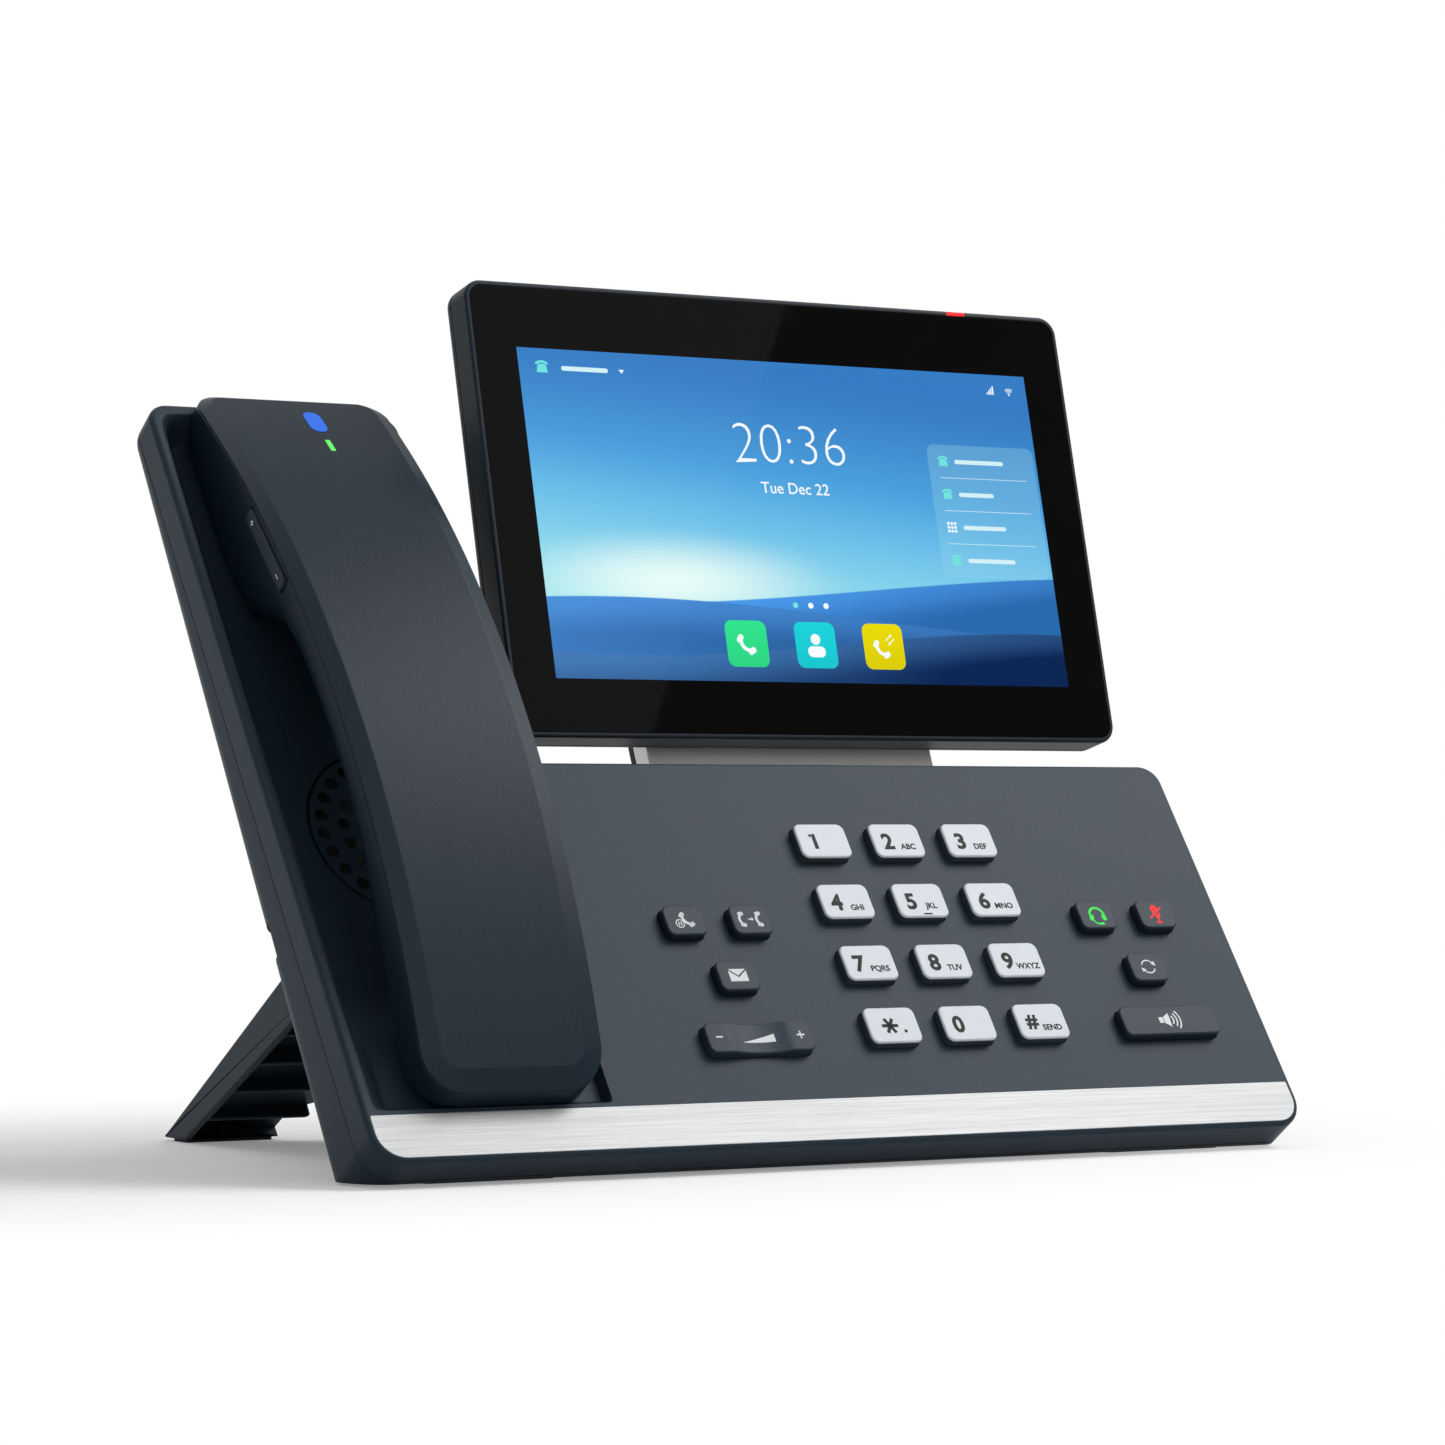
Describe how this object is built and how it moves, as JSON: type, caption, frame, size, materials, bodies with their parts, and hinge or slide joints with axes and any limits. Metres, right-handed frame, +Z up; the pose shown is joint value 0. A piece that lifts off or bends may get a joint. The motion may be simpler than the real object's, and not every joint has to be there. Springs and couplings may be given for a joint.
{
  "type": "desk ip phone",
  "caption": "Desk IP phone with a wireless handset in a side cradle, a number keypad, a tilting colour screen on a neck and a rear stand.",
  "frame": {"origin": "on the desk plane, under the centre of the phone's bounding box", "axes": "+X to the user's right across the keypad, +Y away from the user, +Z up"},
  "size_m": [0.259, 0.1722, 0.2169],
  "materials": {
    "housing": "dark slate blue grey, fine texture",
    "dark_plastic": "darker slate, satin",
    "key_light": "silvery white, satin",
    "key_dark": "dark slate, satin",
    "trim": "brushed along its length",
    "silver": "silver paint, satin",
    "glass": "black backed, polished",
    "display": "lit picture",
    "rubber": "matt black",
    "silicone": "matt light grey",
    "board": "green circuit board",
    "socket": "black",
    "steel": "plain",
    "gold": "gold plated",
    "battery": "foil pouch",
    "light_red": "lit lens",
    "light_blue": "lit lens",
    "light_green": "lit lens"
  },
  "bodies": {
    "base": {"bottom_housing": "housing", "top_housing": "housing", "trim_strip": "trim", "front_feet": "rubber", "housing_screws": "steel", "loudspeaker_frame": "dark_plastic", "loudspeaker_cone": "dark_plastic", "charge_contacts": "gold", "keypad_membrane": "silicone", "keypad_board": "board", "main_board": "board", "lan_socket": "socket", "pc_socket": "socket", "power_socket": "socket", "stand": "housing", "stand_feet": "rubber", "neck": "silver", "neck_cover": "dark_plastic", "neck_screws": "steel"},
    "key_1": {"key_1": "key_light"},
    "key_2": {"key_2": "key_light"},
    "key_3": {"key_3": "key_light"},
    "key_4": {"key_4": "key_light"},
    "key_5": {"key_5": "key_light"},
    "key_6": {"key_6": "key_light"},
    "key_7": {"key_7": "key_light"},
    "key_8": {"key_8": "key_light"},
    "key_9": {"key_9": "key_light"},
    "key_star": {"key_star": "key_light"},
    "key_0": {"key_0": "key_light"},
    "key_hash": {"key_hash": "key_light"},
    "key_hold": {"key_hold": "key_dark"},
    "key_transfer": {"key_transfer": "key_dark"},
    "key_message": {"key_message": "key_dark"},
    "key_headset": {"key_headset": "key_dark"},
    "key_mute": {"key_mute": "key_dark"},
    "key_redial": {"key_redial": "key_dark"},
    "key_speaker": {"key_speaker": "key_dark"},
    "volume_rocker": {"volume_rocker": "dark_plastic"},
    "screen": {"screen_frame": "housing", "screen_back": "housing", "screen_glass": "glass", "lcd_panel": "display", "screen_board": "board", "screen_screws": "steel", "status_light": "light_red", "hinge_pin": "steel"},
    "handset": {"handset_body": "housing", "handset_cap": "housing", "handset_board": "board", "handset_battery": "battery", "earpiece": "dark_plastic", "microphone": "steel", "handset_contacts": "gold", "pairing_light": "light_blue", "charge_light": "light_green", "handset_screws": "steel"},
    "handset_rocker": {"handset_rocker": "dark_plastic"}
  },
  "joints": [
    {"name": "screen_tilt", "type": "hinge", "parent": "base", "child": "screen", "pos_m": [0.038, 0.02919, 0.13342], "axis": [-1, 0, 0], "range_deg": [-8, 30]},
    {"name": "handset_lift", "type": "slide", "parent": "base", "child": "handset", "axis": [0, -0.8156, 0.5786], "range_m": [0, 0.09]},
    {"name": "key_1_press", "type": "slide", "parent": "base", "child": "key_1", "axis": [0, 0.8156, -0.5786], "range_m": [0, 0.001], "stiffness_N_per_m": 400, "springref_m": -0.0005},
    {"name": "key_2_press", "type": "slide", "parent": "base", "child": "key_2", "axis": [0, 0.8156, -0.5786], "range_m": [0, 0.001], "stiffness_N_per_m": 400, "springref_m": -0.0005},
    {"name": "key_3_press", "type": "slide", "parent": "base", "child": "key_3", "axis": [0, 0.8156, -0.5786], "range_m": [0, 0.001], "stiffness_N_per_m": 400, "springref_m": -0.0005},
    {"name": "key_4_press", "type": "slide", "parent": "base", "child": "key_4", "axis": [0, 0.8156, -0.5786], "range_m": [0, 0.001], "stiffness_N_per_m": 400, "springref_m": -0.0005},
    {"name": "key_5_press", "type": "slide", "parent": "base", "child": "key_5", "axis": [0, 0.8156, -0.5786], "range_m": [0, 0.001], "stiffness_N_per_m": 400, "springref_m": -0.0005},
    {"name": "key_6_press", "type": "slide", "parent": "base", "child": "key_6", "axis": [0, 0.8156, -0.5786], "range_m": [0, 0.001], "stiffness_N_per_m": 400, "springref_m": -0.0005},
    {"name": "key_7_press", "type": "slide", "parent": "base", "child": "key_7", "axis": [0, 0.8156, -0.5786], "range_m": [0, 0.001], "stiffness_N_per_m": 400, "springref_m": -0.0005},
    {"name": "key_8_press", "type": "slide", "parent": "base", "child": "key_8", "axis": [0, 0.8156, -0.5786], "range_m": [0, 0.001], "stiffness_N_per_m": 400, "springref_m": -0.0005},
    {"name": "key_9_press", "type": "slide", "parent": "base", "child": "key_9", "axis": [0, 0.8156, -0.5786], "range_m": [0, 0.001], "stiffness_N_per_m": 400, "springref_m": -0.0005},
    {"name": "key_star_press", "type": "slide", "parent": "base", "child": "key_star", "axis": [0, 0.8156, -0.5786], "range_m": [0, 0.001], "stiffness_N_per_m": 400, "springref_m": -0.0005},
    {"name": "key_0_press", "type": "slide", "parent": "base", "child": "key_0", "axis": [0, 0.8156, -0.5786], "range_m": [0, 0.001], "stiffness_N_per_m": 400, "springref_m": -0.0005},
    {"name": "key_hash_press", "type": "slide", "parent": "base", "child": "key_hash", "axis": [0, 0.8156, -0.5786], "range_m": [0, 0.001], "stiffness_N_per_m": 400, "springref_m": -0.0005},
    {"name": "key_hold_press", "type": "slide", "parent": "base", "child": "key_hold", "axis": [0, 0.8156, -0.5786], "range_m": [0, 0.001], "stiffness_N_per_m": 400, "springref_m": -0.0005},
    {"name": "key_transfer_press", "type": "slide", "parent": "base", "child": "key_transfer", "axis": [0, 0.8156, -0.5786], "range_m": [0, 0.001], "stiffness_N_per_m": 400, "springref_m": -0.0005},
    {"name": "key_message_press", "type": "slide", "parent": "base", "child": "key_message", "axis": [0, 0.8156, -0.5786], "range_m": [0, 0.001], "stiffness_N_per_m": 400, "springref_m": -0.0005},
    {"name": "key_headset_press", "type": "slide", "parent": "base", "child": "key_headset", "axis": [0, 0.8156, -0.5786], "range_m": [0, 0.001], "stiffness_N_per_m": 400, "springref_m": -0.0005},
    {"name": "key_mute_press", "type": "slide", "parent": "base", "child": "key_mute", "axis": [0, 0.8156, -0.5786], "range_m": [0, 0.001], "stiffness_N_per_m": 400, "springref_m": -0.0005},
    {"name": "key_redial_press", "type": "slide", "parent": "base", "child": "key_redial", "axis": [0, 0.8156, -0.5786], "range_m": [0, 0.001], "stiffness_N_per_m": 400, "springref_m": -0.0005},
    {"name": "key_speaker_press", "type": "slide", "parent": "base", "child": "key_speaker", "axis": [0, 0.8156, -0.5786], "range_m": [0, 0.001], "stiffness_N_per_m": 400, "springref_m": -0.0005},
    {"name": "volume_rock", "type": "hinge", "parent": "base", "child": "volume_rocker", "pos_m": [-0.0218, -0.06716, 0.02779], "axis": [0, 0.5786, 0.8156], "range_deg": [-2.5, 2.5], "stiffness_Nm_per_rad": 0.3},
    {"name": "handset_rock", "type": "hinge", "parent": "handset", "child": "handset_rocker", "pos_m": [-0.11762, -0.0039, 0.14586], "axis": [0, -0.7028, 0.7114], "range_deg": [-2.5, 2.5], "stiffness_Nm_per_rad": 0.3}
  ]
}
